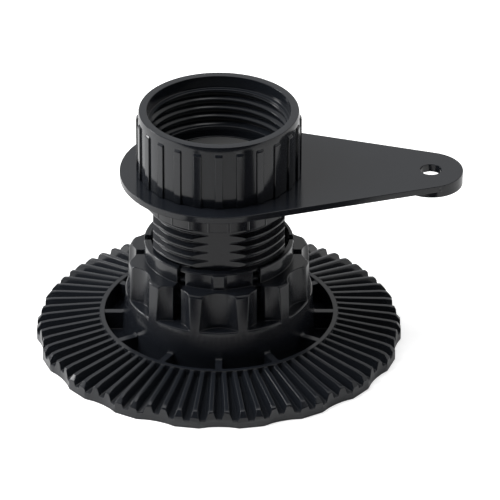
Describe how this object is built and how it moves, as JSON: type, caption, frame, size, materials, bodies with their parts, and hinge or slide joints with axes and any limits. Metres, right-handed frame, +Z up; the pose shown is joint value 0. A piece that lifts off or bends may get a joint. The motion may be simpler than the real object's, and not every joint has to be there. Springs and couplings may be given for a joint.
{
  "type": "adjustable cabinet leg",
  "caption": "Black plastic height-adjustable cabinet leg: round toothed foot, fluted hub, threaded stem, ribbed socket and a swivelling arm plate with a screw hole.",
  "frame": {"origin": "centre of the foot's flat underside, on the floor", "axes": "+Z up along the stem, +X along the arm from the stem to the screw hole"},
  "size_m": [0.1158, 0.0994, 0.0697],
  "materials": {
    "foot_plastic": "moulded black plastic, satin sheen",
    "stem_plastic": "moulded black plastic, satin sheen",
    "plate_plastic": "moulded black plastic, smooth satin faces",
    "socket_plastic": "moulded black plastic, smooth and slightly glossy"
  },
  "bodies": {
    "foot": {"foot_base": "foot_plastic"},
    "plate": {"arm_plate": "plate_plastic"},
    "stem": {"threaded_stem": "stem_plastic", "socket_sleeve": "socket_plastic"}
  },
  "joints": [
    {"name": "height_slide", "type": "slide", "parent": "foot", "child": "plate", "axis": [0, 0, 1], "range_m": [-0.01235, 0.0052]},
    {"name": "stem_turn", "type": "hinge", "parent": "plate", "child": "stem", "pos_m": [0, 0, 0.05], "axis": [0, 0, 1], "range_deg": [-1710.05, 720.05]}
  ],
  "couplings": [
    {"joint": "stem_turn", "follows": "height_slide", "rad_per_m": 2416.6}
  ]
}
